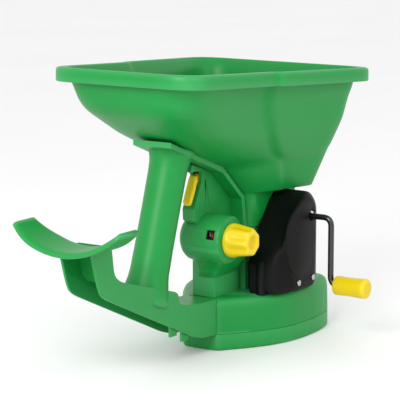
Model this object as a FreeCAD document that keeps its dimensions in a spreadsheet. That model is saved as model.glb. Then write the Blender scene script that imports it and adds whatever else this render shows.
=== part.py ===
import FreeCAD, Part
import math
import os
import re
import Sketcher
from FreeCAD import Placement, Rotation, Vector

# Hand-held rotary spreader.  The origin is on the floor under the impeller's axis,
# +X is the way the granules are thrown, +Z is up, and the crank is on the -Y side.

SIZES = {
    # hopper: seen from above it is a long box that steps out a little towards the front
    "wall": 2.6, "rim_rear": -241, "rim_front": 59, "rim_height": 285, "rim_middle": -91,
    "rim_tilt": 3.2, "rim_rear_half": 78, "rim_front_half": 103, "step_out": 6,
    "corner": 24, "lip_out": 6, "lip_depth": 13, "lip_wall": 2.4,
    "crease_height": 250, "crease_rear": -234, "shoulder_height": 222, "shoulder_rear": -190,
    "bulge_height": 197, "bulge_rear": -124, "waist_height": 187, "waist_rear": -97,
    "neck_height": 152, "neck_rear": -57, "neck_front": 34, "neck_half": 27,
    "throat_height": 118, "throat_rear": -51, "throat_front": 26, "throat_half": 25,
    # the outlet in the hopper floor and the shutter that slides under it
    "outlet_rear": -45, "outlet_front": -37, "outlet_half": 15, "shutter_wall": 2,
    "shutter_gap": 0.3, "shutter_half": 20,
    # base housing
    "tray_height": 17, "cover_height": 53, "base_half": 65, "base_front": 66, "base_rear": -105,
    "base_wall": 2.5, "mouth_half": 50, "mouth_low": 8, "mouth_high": 44, "screw_radius": 1.6,
    # rail, stem and cradle behind the base
    "rail_half": 19, "rail_wall": 2.6, "rail_rear": -302, "rail_rise": 90, "stem_rear": -315,
    "stem_top": 138, "cradle_rear": -336, "cradle_front": -291, "cradle_half": 58,
    "cradle_radius": 87, "cradle_wall": 6, "cradle_floor": 138,
    # handle
    "grip_diameter": 38, "grip_wall": 3, "handle_foot_x": -200, "handle_foot_z": 80,
    "handle_top_x": -158, "handle_top_z": 204,
    # barrel for the rate dial
    "barrel_x": -102, "barrel_z": 115, "barrel_radius": 24, "barrel_near": 34, "barrel_far": 8,
    "barrel_wall": 2.6, "scale_gap": 3.9, "knob_radius": 17, "knob_end_radius": 12.5, "knob_length": 26,
    "dial_shaft": 8, "cam_large": 17, "cam_small": 8,
    # trigger
    "pivot_x": -108, "pivot_z": 176, "trigger_length": 25, "trigger_half": 6,
    "trigger_depth": 7, "link_drop": 31, "pin_radius": 1.5, "web_half": 7, "web_wall": 2,
    "column_half": 13,
    # crank and gears
    "crank_height": 127, "rod_radius": 3.1, "crank_arm": 69, "arm_out": 91, "grip_start": 97,
    "grip_length": 37, "handgrip_radius": 10.3, "face_out": 67, "case_in": 29,
    "case_front": 11, "case_side": 26, "case_top": 153, "case_wall": 2.2,
    "tooth_module": 1, "crank_teeth": 36, "lay_teeth": 18, "face_teeth": 24, "pinion_teeth": 12,
    "tooth_gap": 0.2, "gear_width": 6, "gear_inset": 11, "shaft_radius": 3,
    "impeller_radius": 50, "impeller_floor": 24, "impeller_wall": 2.5, "vane_height": 11,
    "fit": 0.05, "play": 0.4,
}

doc = FreeCAD.newDocument("Spreader")
sheet = doc.addObject("Spreadsheet::Sheet", "Sizes")
for row, (alias, number) in enumerate(SIZES.items(), 1):
    sheet.set("A%d" % row, alias)
    sheet.set("B%d" % row, str(number))
    sheet.setAlias("B%d" % row, alias)
doc.recompute()

finished = []


def linked(expression):
    """The expression with every named size pointing at its cell."""
    text = str(expression)
    return re.sub(r"[a-z][a-z_]+", lambda m: "Sizes." + m.group() if m.group() in SIZES
                  else m.group(), text)


def amount(expression):
    return float(sheet.evalExpression(linked(expression)))


def bind(thing, prop, expression):
    thing.setExpression(prop, linked(expression))


def place(thing, x=0, y=0, z=0, turn=None):
    if turn:
        axis, angle = turn
        thing.Placement = Placement(Vector(), Rotation(Vector(*axis), amount(angle)))
        bind(thing, "Placement.Rotation.Angle", angle)
    for letter, value in zip("xyz", (x, y, z)):
        bind(thing, "Placement.Base." + letter, value)
    return thing


def box(x, y, z, name="Block"):
    """A block from (low, high) pairs."""
    block = doc.addObject("Part::Box", name)
    for prop, (low, high) in zip(("Length", "Width", "Height"), (x, y, z)):
        bind(block, prop, "(%s) - (%s)" % (high, low))
    return place(block, x[0], y[0], z[0])


def rod(radius, start, length, along="z", name="Rod"):
    """A cylinder that starts at a point and runs along an axis."""
    turns = {"z": None, "x": ((0, 1, 0), 90), "y": ((1, 0, 0), 270), "-y": ((1, 0, 0), 90)}
    cylinder = doc.addObject("Part::Cylinder", name)
    bind(cylinder, "Radius", radius)
    bind(cylinder, "Height", length)
    return place(cylinder, *start, turn=turns[along])


def cone(first, second, start, length, along="z"):
    turns = {"z": None, "y": ((1, 0, 0), 270), "-y": ((1, 0, 0), 90)}
    shape = doc.addObject("Part::Cone", "Taper")
    bind(shape, "Radius1", first)
    bind(shape, "Radius2", second)
    bind(shape, "Height", length)
    return place(shape, *start, turn=turns[along])


def joined(*parts):
    result = doc.addObject("Part::MultiFuse", "Joined")
    result.Shapes = list(parts)
    result.Refine = True
    return result


def cut(base, *tools):
    result = doc.addObject("Part::Cut", "Cut")
    result.Base = base
    result.Tool = tools[0] if len(tools) == 1 else joined(*tools)
    result.Refine = True
    return result


def shared(first, second):
    result = doc.addObject("Part::MultiCommon", "Shared")
    result.Shapes = [first, second]
    result.Refine = True
    return result


def draw(sketch, points):
    """A closed outline whose corners are tied to the named sizes."""
    spots = [Vector(amount(u), amount(v), 0) for u, v in points]
    for first, second in zip(spots, spots[1:] + spots[:1]):
        sketch.addGeometry(Part.LineSegment(first, second), False)
    count = len(spots)
    for index in range(count):
        sketch.addConstraint(Sketcher.Constraint("Coincident", index, 2, (index + 1) % count, 1))
    for index, (u, v) in enumerate(points):
        for kind, value, number in (("DistanceX", u, spots[index].x),
                                    ("DistanceY", v, spots[index].y)):
            which = sketch.addConstraint(Sketcher.Constraint(kind, -1, 1, index, 1, number))
            bind(sketch, "Constraints[%d]" % which, value)


def plane_of(body, role):
    return next(f for f in body.Origin.OriginFeatures if f.Role == role)


def slab(plane, points, low, high, name="Slab"):
    """An outline padded between two levels: XY levels are z, XZ levels are y, YZ levels are x."""
    body = doc.addObject("PartDesign::Body", name)
    sketch = body.newObject("Sketcher::SketchObject", name + "Outline")
    sketch.AttachmentSupport = (plane_of(body, plane + "_Plane"), [""])
    sketch.MapMode = "FlatFace"
    bind(sketch, "AttachmentOffset.Base.z", "-(%s)" % high if plane == "XZ" else low)
    draw(sketch, points)
    pad = body.newObject("PartDesign::Pad", name + "Pad")
    pad.Profile = sketch
    bind(pad, "Length", "(%s) - (%s)" % (high, low))
    return body


def turned(points, axis_x, axis_y, name="Turned"):
    """An outline of (radius, height) pairs turned about an upright axis."""
    body = doc.addObject("PartDesign::Body", name)
    sketch = body.newObject("Sketcher::SketchObject", name + "Outline")
    sketch.AttachmentSupport = (plane_of(body, "XZ_Plane"), [""])
    sketch.MapMode = "FlatFace"
    draw(sketch, points)
    turn = body.newObject("PartDesign::Revolution", name + "Turn")
    turn.Profile = sketch
    turn.ReferenceAxis = (sketch, ["V_Axis"])
    turn.Angle = 360
    return place(body, axis_x, axis_y, 0)


def section(points, height, tilt=None, pivot=0):
    sketch = doc.addObject("Sketcher::SketchObject", "Section")
    draw(sketch, points)
    return place(sketch, pivot, 0, height, turn=((0, 1, 0), tilt) if tilt else None)


def loft(sections, ruled=True):
    result = doc.addObject("Part::Loft", "Loft")
    result.Sections = sections
    result.Solid = True
    result.Ruled = ruled
    return result


def mirrored_outline(half):
    """Points of one side, given from rear to front, and the same points on the other side."""
    return half + [(u, "-(%s)" % v) for u, v in reversed(half)]


def finish(thing, label):
    thing.Label = label
    finished.append(thing)
    return thing


def spur_gear(teeth_size, bore_size):
    """A spur gear lying in the XY plane about the origin, with play between its flanks."""
    teeth = round(amount(teeth_size))
    module = amount("tooth_module")
    tip = (teeth / 2 + 0.8) * module
    root = (teeth / 2 - 1.15) * module
    step = 2 * math.pi / teeth
    points = []
    for index in range(teeth):
        for radius, share in ((root, -0.28), (tip, -0.11), (tip, 0.11), (root, 0.28)):
            angle = (index + share) * step
            points.append(Vector(radius * math.cos(angle), radius * math.sin(angle), 0))
    face = Part.Face(Part.makePolygon(points + points[:1]))
    width = amount("gear_width")
    return face.extrude(Vector(0, 0, width)).cut(Part.makeCylinder(amount(bore_size), width))


def formed(shape, label, placement):
    """A part whose shape is worked out by Part's own functions from the sheet's sizes."""
    feature = doc.addObject("Part::Feature", label)
    feature.Shape = shape
    feature.Placement = placement
    return finish(feature, label)


# ---------------------------------------------------------------- hopper

def hopper_outline(rear, front, rear_half, front_half, grow=0, shift="0", step="step_out"):
    """Seen from above: chamfered corners, and a step out in each long side."""
    rear, front = "(%s) - (%s)" % (rear, grow), "(%s) + (%s)" % (front, grow)
    flare = "((%s) - (%s)) * 0.55" % (front_half, rear_half)
    behind = "(%s) + %s - (%s) + (%s)" % (rear_half, flare, step, grow)
    ahead = "(%s) + %s + (%s)" % (rear_half, flare, grow)
    c = "min(corner; (%s) * 0.6)" % rear_half
    half = [(rear, "-((%s) + (%s) - %s)" % (rear_half, grow, c)),
            ("%s + %s" % (rear, c), "-((%s) + (%s))" % (rear_half, grow)),
            ("(%s) * 0.45 + (%s) * 0.55 - 5" % (rear, front), "-(%s)" % behind),
            ("(%s) * 0.45 + (%s) * 0.55 + 5" % (rear, front), "-(%s)" % ahead),
            ("%s - %s" % (front, c), "-((%s) + (%s))" % (front_half, grow)),
            (front, "-((%s) + (%s) - %s)" % (front_half, grow, c))]
    return [("(%s) - (%s)" % (u, shift), v) for u, v in mirrored_outline(half)]


HOPPER_LEVELS = (
    # height, rear, front, half width at the rear, half width at the front, step
    ("crease_height", "crease_rear", "rim_front - 4", "rim_rear_half - 4",
     "rim_front_half - 5", "step_out"),
    ("shoulder_height", "shoulder_rear", "rim_front - 9", "rim_rear_half - 22",
     "rim_front_half - 11", "step_out"),
    ("bulge_height", "bulge_rear", "rim_front - 14", "neck_half + 10",
     "rim_front_half - 17", "step_out"),
    ("waist_height", "waist_rear", "rim_front - 19", "neck_half + 5",
     "rim_front_half - 28", "0"),
    ("neck_height", "neck_rear", "neck_front", "neck_half", "neck_half + 21", "0"),
    ("throat_height", "throat_rear", "throat_front", "throat_half", "throat_half + 1", "0"),
)


def hopper_solid(grow):
    rim = hopper_outline("rim_rear", "rim_front", "rim_rear_half", "rim_front_half", grow,
                         "rim_middle")
    sections = [section(rim, "rim_height", "rim_tilt", "rim_middle")]
    for height, rear, front, rear_half, front_half, step in HOPPER_LEVELS:
        points = hopper_outline(rear, front, rear_half, front_half, grow, "0", step)
        sections.append(section(points, height))
    return loft(sections)


def rim_slab(grow, low, high):
    points = hopper_outline("rim_rear", "rim_front", "rim_rear_half", "rim_front_half", grow,
                            "rim_middle")
    body = slab("XY", points, low, high, "Rim")
    return place(body, "rim_middle", 0, "rim_height", turn=((0, 1, 0), "rim_tilt"))


def case_notch(grow):
    """Room beside the neck for the gear case, seen by the outside and by the hollow."""
    return box(("neck_rear - 30", "case_side + 2 + (%s)" % grow),
               ("-rim_front_half", "-(case_in - play) + (%s)" % grow),
               ("cover_height", "case_top + 5 + (%s)" % grow), "Notch")


def hopper():
    lip = cut(rim_slab("lip_out", "-lip_depth", 0),
              rim_slab("lip_out - lip_wall", "-lip_depth - 1", "-lip_wall"))
    shell = joined(cut(hopper_solid(0), case_notch(0)), lip)
    mouth = rim_slab("-wall", "-0.5", 5)
    outlet = box(("outlet_rear", "outlet_front"), ("-outlet_half", "outlet_half"),
                 ("throat_height - 1", "throat_height + wall + 1"))
    floor = slab("XY", hopper_outline("throat_rear", "throat_front", "throat_half",
                                      "throat_half + 1", 0, "0", "0"),
                 "throat_height", "throat_height + wall", "Floor")
    hollow = cut(hopper_solid("-wall"), case_notch("wall"))
    return finish(cut(joined(cut(shell, hollow, mouth), floor), outlet), "hopper")


# ---------------------------------------------------------------- base

def base_outline(grow="0"):
    """Narrow where the rail joins it, wide round the impeller, open at the front."""
    half = [("base_rear - (%s)" % grow, "-(rail_half + 1 + (%s))" % grow),
            ("base_rear + 34", "-(base_half - 19 + (%s))" % grow),
            ("base_rear + 66", "-(base_half - 4 + (%s))" % grow),
            ("base_rear + 96", "-(base_half + (%s))" % grow),
            ("base_front - 34", "-(base_half - 1 + (%s))" % grow),
            ("base_front + (%s)" % grow, "-(base_half - 11 + (%s))" % grow),
            ("base_front + 7 + (%s)" % grow, "-(base_half / 2 - 6)")]
    return mirrored_outline(half)


def mouth(grow="0"):
    return box(("impeller_radius - 2", "base_front + 30"), ("-mouth_half", "mouth_half"),
               ("mouth_low", "mouth_high"), "Mouth")


def chute_hole(grow):
    return box(("outlet_rear - (%s)" % grow, "outlet_front + (%s)" % grow),
               ("-outlet_half - (%s)" % grow, "outlet_half + (%s)" % grow),
               ("cover_height - 10", "cover_height + 10"), "ChuteHole")


def base_cover():
    outside = slab("XY", base_outline(), "tray_height", "cover_height", "CoverOuter")
    inside = slab("XY", base_outline("-base_wall"), "tray_height - 1",
                  "cover_height - base_wall", "CoverInner")
    bearing = rod("shaft_radius + 3", (0, 0, "cover_height - 10"), 20)
    posts = [rod("screw_radius + 3", (x, y, "tray_height"), "cover_height - tray_height - 1")
             for x, y in screw_spots()]
    bores = [rod("screw_radius", (x, y, "tray_height - 1"), 8) for x, y in screw_spots()]
    shell = cut(outside, inside, mouth(), chute_hole("base_wall"), bearing)
    return finish(cut(joined(shell, *posts), *bores), "base_cover")


def base_tray():
    outside = slab("XY", base_outline(), 0, "tray_height", "TrayOuter")
    inside = slab("XY", base_outline("-base_wall"), "base_wall", "tray_height + 1", "TrayInner")
    boss = cut(rod("shaft_radius + 5", (0, 0, "base_wall - 1"), "mouth_low - base_wall + 1"),
               rod("shaft_radius + 3", (0, 0, "base_wall"), 20))
    posts = [rod("screw_radius + 3", (x, y, "base_wall - 1"), "tray_height - base_wall + 1")
             for x, y in screw_spots()]
    bores = [rod("screw_radius", (x, y, -1), 40) for x, y in screw_spots()]
    heads = [rod("screw_radius + 1.5", (x, y, -1), 4) for x, y in screw_spots()]
    tray = joined(cut(outside, inside, mouth()), boss, *posts)
    return finish(cut(tray, *bores, *heads), "base_tray")


def screw_spots():
    return [("base_rear + 42", "base_half - 26"), ("base_rear + 42", "26 - base_half"),
            ("base_front - 26", "base_half - 12"), ("base_front - 26", "12 - base_half")]


def tray_screws():
    """Countersunk from below, through the tray's posts into the cover's."""
    screws = []
    for x, y in screw_spots():
        head = rod("screw_radius + 1.4", (x, y, 1), 2)
        screws.append(joined(head, rod("screw_radius", (x, y, 2), "tray_height + 4")))
    return finish(bundle(screws), "tray_screws")


def bundle(parts):
    result = doc.addObject("Part::Compound", "Bundle")
    result.Links = parts
    return result


# ---------------------------------------------------------------- rail, stem and cradle

def rail_outline():
    return [("stem_rear", "stem_top"), ("rail_rear - 1", "rail_rise + 8"),
            ("rail_rear + 6", "rail_rise"), ("base_rear - 32", "tray_height + 2"),
            ("base_rear", "tray_height"), ("base_rear", "cover_height"),
            ("base_rear - 45", "cover_height + 3"), ("base_rear - 67", "cover_height + 8"),
            ("base_rear - 67", "cover_height + 20"), ("rail_rear + 46", "rail_rise + 7"),
            ("rail_rear + 31", "rail_rise + 12"), ("rail_rear + 23", "rail_rise + 19"),
            ("rail_rear + 21", "rail_rise + 31"), ("rail_rear + 19", "stem_top")]


def rail_hollow():
    """The inside of the channel, open to the rear and to the floor."""
    return [("stem_rear - 5", "stem_top + 5"), ("rail_rear + 19 - rail_wall", "stem_top + 5"),
            ("rail_rear + 21 - rail_wall", "rail_rise + 30"),
            ("rail_rear + 23 - rail_wall", "rail_rise + 17"),
            ("rail_rear + 31 - rail_wall", "rail_rise + 9"),
            ("rail_rear + 46", "rail_rise + 7 - rail_wall * 1.1"),
            ("base_rear - 67 - rail_wall", "cover_height + 20 - rail_wall * 1.1"),
            ("base_rear - 67 - rail_wall", "cover_height + 8 - rail_wall"),
            ("base_rear - 45", "cover_height + 3 - rail_wall"),
            ("base_rear - rail_wall", "cover_height - rail_wall"),
            ("base_rear - rail_wall", "-5"), ("stem_rear - 5", "-5")]


def channel():
    outside = slab("XZ", rail_outline(), "-rail_half", "rail_half", "RailOuter")
    inside = slab("XZ", rail_hollow(), "rail_wall - rail_half", "rail_half - rail_wall", "RailInner")
    return cut(outside, inside)


def rail():
    return finish(channel(), "rail")


def rail_ribs():
    """Thin walls across the channel that stiffen it."""
    ribs = []
    for share in (0.15, 0.45, 0.75):
        x = "rail_rear + 46 + (base_rear - 67 - rail_rear - 46) * %s" % share
        top = "rail_rise + 7 - rail_wall * 1.1 + (cover_height + 13 - rail_rise) * %s" % share
        across = ("rail_wall - rail_half", "rail_half - rail_wall")
        ribs.append(box((x + " - 1", x + " + 1"), across, (top + " - 15", top + " - 1.6"), "Rib"))
    return finish(bundle(ribs), "rail_ribs")


def rail_clips():
    """Two snap tongues under the rail."""
    clips = []
    for step in (0, 20):
        x = "base_rear - 78 + %d" % step
        low = "tray_height + 13 - %d * 0.42" % step
        clips.append(box((x, x + " + 11"), ("rail_wall - rail_half", "rail_wall * 2 - rail_half"),
                         (low, low + " + 22"), "Clip"))
    return finish(bundle(clips), "rail_clips")


def arm_cradle():
    """A shallow saddle for the forearm: part of a ring whose axis lies along X."""
    length = "cradle_front - cradle_rear"
    centre = "cradle_floor + cradle_radius"
    ring = cut(rod("cradle_radius + cradle_wall", ("cradle_rear", 0, centre), length, "x"),
               rod("cradle_radius", ("cradle_rear - 1", 0, centre), length + " + 2", "x"))
    keep = box(("cradle_rear", "cradle_front"), ("-cradle_half", "cradle_half"),
               ("cradle_floor - cradle_wall - 1", "cradle_floor + cradle_radius * 0.5"), "Keep")
    tongue = box(("stem_rear + rail_wall", "rail_rear + 18 - rail_wall"),
                 ("rail_wall - rail_half + 0.2", "rail_half - rail_wall - 0.2"),
                 ("stem_top - 16", "stem_top + 4"), "Tongue")
    arm_room = rod("cradle_radius", ("cradle_rear - 1", 0, centre), length + " + 2", "x")
    return finish(cut(joined(shared(ring, keep), tongue), arm_room, channel()), "arm_cradle")


# ---------------------------------------------------------------- handle and body

LEAN = "atan((handle_top_x - handle_foot_x) / (handle_top_z - handle_foot_z))"


def underside(gap):
    """The line under the hopper, a little below it, from rear to front."""
    return [("shoulder_rear", "shoulder_height - (%s)" % gap),
            ("bulge_rear", "bulge_height - (%s) * 1.06" % gap),
            ("waist_rear", "waist_height - (%s) * 1.2" % gap),
            ("neck_rear - (%s) * 0.8" % gap, "neck_height - (%s) * 0.5" % gap),
            ("throat_rear - (%s)" % gap, "throat_height")]


def saddle():
    outline = underside(0) + list(reversed(underside(5.5)))
    return finish(slab("XZ", outline, "-22", "22", "Saddle"), "hopper_saddle")


def leaning_rod(radius, spare):
    """A cylinder along the handle's leaning axis, longer than the handle at both ends."""
    length = "sqrt(pow(handle_top_x - handle_foot_x; 2) + pow(handle_top_z - handle_foot_z; 2))"
    cylinder = doc.addObject("Part::Cylinder", "Column")
    bind(cylinder, "Radius", radius)
    bind(cylinder, "Height", "%s + %d" % (length, 2 * spare))
    start_x = "handle_foot_x - %d * sin(%s)" % (spare, LEAN)
    start_z = "handle_foot_z - %d * cos(%s)" % (spare, LEAN)
    return place(cylinder, start_x, 0, start_z, turn=((0, 1, 0), LEAN))


def handle():
    column = leaning_rod("grip_diameter / 2", 20)
    bore = leaning_rod("grip_diameter / 2 - grip_wall", 30)
    above = slab("XZ", [("shoulder_rear - 30", "shoulder_height + 5.5")] + underside(5.5)
                 + [("throat_rear", "rim_height + 60"), ("shoulder_rear - 30", "rim_height + 60")],
                 "-40", "40", "Above")
    below = slab("XZ", rail_outline()[2:10] + [("rail_rear - 20", "rail_rise + 10"), ("rail_rear - 20", "0")],
                 "-40", "40", "Below")
    return finish(cut(column, bore, above, below), "handle")


def web_outline(inset="0"):
    """The thin body between handle and neck, above and in front of the barrel."""
    return [*underside("5.5 + (%s)" % inset)[2:],
            ("throat_rear - 5.5 - (%s)" % inset, "barrel_z - 10 + (%s)" % inset),
            ("barrel_x + barrel_radius - 6", "barrel_z - 10 + (%s)" % inset),
            ("barrel_x", "barrel_z + 5"),
            ("barrel_x - barrel_radius + (%s)" % inset, "barrel_z + 20"),
            ("barrel_x - barrel_radius - 1 + (%s)" % inset, "barrel_z + 31"),
            ("pivot_x - 5 + (%s)" % inset, "pivot_z - 3")]


def trigger_web():
    brow = [("bulge_rear - 9", "pivot_z + 8.5"), ("bulge_rear - 6", "bulge_height - 5")]
    outside = slab("XZ", web_outline() + [("pivot_x - 5", "pivot_z + 7.5")] + brow,
                   "-web_half", "web_half", "WebOuter")
    inside = slab("XZ", web_outline("web_wall") + [("pivot_x - 5 + web_wall", "pivot_z + 5.5")],
                  "web_wall - web_half", "web_half - web_wall", "WebInner")
    drum = rod("barrel_radius", ("barrel_x", 50, "barrel_z"), 100, "-y")
    slot = box(("pivot_x - 20", "pivot_x"), ("-3.5", "3.5"), ("pivot_z - 12", "pivot_z + 6"), "Slot")
    riser = box(("throat_rear - 15", "throat_rear - 2"), ("-shutter_half - 1", "shutter_half + 1"),
                ("throat_height - shutter_wall - shutter_gap * 2 - play", "throat_height + 1"))
    pin = rod("pin_radius", ("pivot_x", 50, "pivot_z"), 100, "-y")
    return finish(cut(outside, inside, drum, slot, riser, pin), "trigger_web")


def column():
    outside = box(("base_rear + 6", "outlet_rear - 8"), ("-column_half", "column_half"),
                  ("cover_height", "barrel_z - 10"), "ColumnOuter")
    inside = box(("base_rear + 8.5", "outlet_rear - 10.5"), ("2.5 - column_half", "column_half - 2.5"),
                 ("cover_height - 1", "barrel_z - 12.5"), "ColumnInner")
    drum = rod("barrel_radius", ("barrel_x", 50, "barrel_z"), 100, "-y")
    return finish(cut(outside, inside, drum), "body_column")


def chute():
    """The square duct that leads the granules from the shutter down on to the impeller."""
    top = "throat_height - shutter_wall - shutter_gap * 2 - 0.4"
    outside = box(("outlet_rear - base_wall", "outlet_front + base_wall"),
                  ("-outlet_half - base_wall", "outlet_half + base_wall"),
                  ("cover_height - base_wall", top), "ChuteOuter")
    inside = box(("outlet_rear", "outlet_front"), ("-outlet_half", "outlet_half"),
                 ("cover_height - 10", "throat_height"), "ChuteInner")
    return finish(cut(outside, inside), "drop_chute")


def shutter_guides():
    """A ledge on each side that carries the shutter."""
    ledge = "throat_height - shutter_wall - shutter_gap * 2"
    guides = []
    for side in (1, -1):
        inner, outer = "outlet_half + base_wall + 0.1", "shutter_half + 4"
        edge = "shutter_half + shutter_gap"
        wide = (inner, outer) if side > 0 else ("-(%s)" % outer, "-(%s)" % inner)
        slot = (inner, edge) if side > 0 else ("-(%s)" % edge, "-(%s)" % inner)
        block = box(("outlet_rear - 5.5", "outlet_front + 6"), wide, (ledge + " - 2", "throat_height"))
        slide = box(("outlet_rear - 30", "outlet_front + 30"), slot, (ledge, "throat_height + 1"))
        guides.append(cut(block, slide))
    return finish(bundle(guides), "shutter_guides")


# ---------------------------------------------------------------- rate dial

SCALE_RADIUS = "barrel_radius - barrel_wall - scale_gap"


def dial_barrel():
    start = ("barrel_x", "-barrel_near", "barrel_z")
    body = joined(rod("barrel_radius", start, "barrel_near + barrel_far", "y"),
                  cone("barrel_radius", "barrel_radius - 8", ("barrel_x", "barrel_far", "barrel_z"), 9, "y"))
    hollow = rod("barrel_radius - barrel_wall", ("barrel_x", "barrel_wall - barrel_near", "barrel_z"),
                 "barrel_near + barrel_far - barrel_wall", "y")
    shaft = rod("dial_shaft / 2 + fit", ("barrel_x", 40, "barrel_z"), 90, "-y")
    window = box(("barrel_x - barrel_radius - 5", "barrel_x - 12"),
                 ("5 - barrel_near", "14 - barrel_near"), ("barrel_z + 3", "barrel_z + 12"), "Window")
    slot = box(("barrel_x - 9", "barrel_x + 14"), ("-3.5", "3.5"),
               ("barrel_z + 10", "barrel_z + 30"), "ArmSlot")
    return finish(cut(body, hollow, shaft, window, slot), "dial_barrel")


def scale_window():
    """A small frame round the window in the barrel."""
    outside = box(("barrel_x - barrel_radius + 0.2", "barrel_x - 18.5"),
                  ("5.2 - barrel_near", "13.8 - barrel_near"),
                  ("barrel_z + 3.2", "barrel_z + 11.8"), "Frame")
    inside = box(("barrel_x - barrel_radius - 5", "barrel_x"),
                 ("6.2 - barrel_near", "12.8 - barrel_near"), ("barrel_z + 4.2", "barrel_z + 10.8"), "Sight")
    drum = rod(SCALE_RADIUS + " + 0.5", ("barrel_x", 40, "barrel_z"), 90, "-y")
    trim = shared(cut(outside, inside, drum), rod("barrel_radius", ("barrel_x", 40, "barrel_z"), 90, "-y"))
    return finish(trim, "scale_window")


def dial_knob():
    base = cone("knob_radius", "knob_end_radius", ("barrel_x", "-barrel_near - play", "barrel_z"),
                "knob_length", "-y")
    flutes = []
    for index in range(8):
        angle = math.radians(index * 45 + 22.5)
        x = "barrel_x + %.6f * (knob_radius + 1.6)" % math.cos(angle)
        z = "barrel_z + %.6f * (knob_radius + 1.6)" % math.sin(angle)
        flutes.append(cone(3, 3.6, (x, "-barrel_near - play - 7", z), 30, "-y"))
    dimple = cone("knob_end_radius - 8", "knob_end_radius - 5",
                  ("barrel_x", "-barrel_near - play - knob_length + 4", "barrel_z"), 4.01, "-y")
    bore = rod("dial_shaft / 2", ("barrel_x", "-barrel_near", "barrel_z"), "knob_length / 2", "-y")
    return finish(cut(base, dimple, bore, *flutes), "dial_knob")


def dial_shaft():
    shaft = rod("dial_shaft / 2", ("barrel_x", "barrel_far", "barrel_z"),
                "barrel_far + barrel_near + play + knob_length / 2 - 1", "-y")
    return finish(shaft, "dial_shaft")


def scale_ring():
    """The drum that carries the numbers, seen through the window."""
    ring = cut(rod(SCALE_RADIUS, ("barrel_x", "16 - barrel_near", "barrel_z"), 12.5, "-y"),
               rod("dial_shaft / 2", ("barrel_x", 40, "barrel_z"), 90, "-y"))
    return finish(ring, "scale_ring")


def cam():
    """A snail: its edge comes nearer the shaft as the dial is turned up."""
    points = []
    for index in range(37):
        angle = math.radians(index * 10)
        radius = amount("cam_small") + (amount("cam_large") - amount("cam_small")) * index / 36
        points.append(Vector(radius * math.cos(angle), 0, radius * math.sin(angle)))
    face = Part.Face(Part.makePolygon(points + [points[0]]))
    body = face.extrude(Vector(0, 6, 0))
    hole = Part.makeCylinder(amount("dial_shaft / 2"), 20, Vector(0, -5, 0), Vector(0, 1, 0))
    spot = Vector(amount("barrel_x"), amount("barrel_far - 10"), amount("barrel_z"))
    return formed(body.cut(hole), "rate_cam", Placement(spot, Rotation()))


# ---------------------------------------------------------------- trigger and shutter

def trigger():
    """A paddle in front of the handle, a hub on the pin and an arm inside the web."""
    tip_x = "barrel_x - barrel_radius - 2"
    tip_z = "pivot_z - trigger_length"
    paddle = slab("XZ", [("pivot_x - 7.5", "pivot_z + 3"), ("pivot_x - 7 - trigger_depth", "pivot_z + 2"),
                         (tip_x + " - trigger_depth", tip_z + " + 4"),
                         (tip_x + " - trigger_depth + 3", tip_z), (tip_x, tip_z + " + 3")],
                  "-trigger_half", "trigger_half", "Paddle")
    neck = box(("pivot_x - 9", "pivot_x"), ("-2.8", "2.8"), ("pivot_z - 4", "pivot_z + 2"), "Neck")
    hub = rod(4.4, ("pivot_x", 2.8, "pivot_z"), 5.6, "-y")
    arm = slab("XZ", [("pivot_x - 3.5", "pivot_z"), ("pivot_x + 2", "pivot_z - link_drop - 3"),
                      ("pivot_x + 5", "pivot_z - link_drop - 3"), ("pivot_x + 3.5", "pivot_z")],
               "-2.8", "2.8", "Arm")
    hole = rod("pin_radius + fit", ("pivot_x", 50, "pivot_z"), 100, "-y")
    return finish(cut(joined(paddle, neck, hub, arm), hole), "trigger")


def trigger_pin():
    pin = rod("pin_radius", ("pivot_x", "web_half", "pivot_z"), "web_half * 2", "-y")
    return finish(pin, "trigger_pin")


def trigger_spring():
    """The room that the torsion spring takes round the pin."""
    start = ("pivot_x", "web_half - web_wall - 0.2", "pivot_z")
    ring = cut(rod(2.8, start, 1.6, "-y"), rod(2.1, ("pivot_x", 50, "pivot_z"), 100, "-y"))
    return finish(ring, "trigger_spring")


def shutter():
    plate = box(("outlet_rear - 4", "outlet_front + 1.5"), ("-shutter_half", "shutter_half"),
                ("throat_height - shutter_wall - shutter_gap", "throat_height - shutter_gap"), "Plate")
    return finish(plate, "shutter")


def shutter_link():
    """Flat strip: back from the shutter, up inside the web, and a hook behind the trigger's arm."""
    level = "pivot_z - link_drop"
    low = "throat_height - shutter_wall - shutter_gap"
    back = "throat_rear - 15"
    tip = "pivot_x - 1.4"
    tongue = box((back, "outlet_rear - 4"), ("-2.5", "2.5"), (low, low + " + shutter_wall"))
    riser = box((back, back + " + 2"), ("-2.5", "4.6"), (low, level + " + 1.5"))
    bar = box((tip, back + " + 2"), ("3.1", "4.6"), (level + " - 1.5", level + " + 1.5"))
    hook = box((tip, tip + " + 2"), ("-2.8", "4.6"), (level + " - 1", level + " + 1"))
    return finish(joined(tongue, riser, bar, hook), "shutter_link")


# ---------------------------------------------------------------- gear case

LAY_HEIGHT = "crank_height - tooth_module * (crank_teeth + lay_teeth) / 2 - tooth_gap"
PINION_HEIGHT = LAY_HEIGHT + " - tooth_module * face_teeth / 2"
FACING_CRANK = Rotation(Vector(1, 0, 0), -90)


def case_outline(inset="0", side="case_side"):
    """The case seen from the crank's side, where it meets the neck."""
    return [("neck_rear - 4 + (%s)" % inset, "cover_height"),
            ("neck_rear - 4 + (%s)" % inset, "cover_height + 34 - (%s)" % inset),
            ("neck_rear + 9 + (%s)" % inset, "case_top - 46"),
            ("neck_rear + 25 + (%s)" % inset, "case_top - 24"),
            ("-17 + (%s) * 0.5" % inset, "case_top - 6 - (%s)" % inset),
            ("-4", "case_top - (%s)" % inset),
            (side + " - 15 - (%s) * 0.5" % inset, "case_top - 2 - (%s)" % inset),
            (side + " - (%s)" % inset, "case_top - 17 - (%s)" % inset),
            (side + " - (%s)" % inset, "cover_height")]


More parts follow.
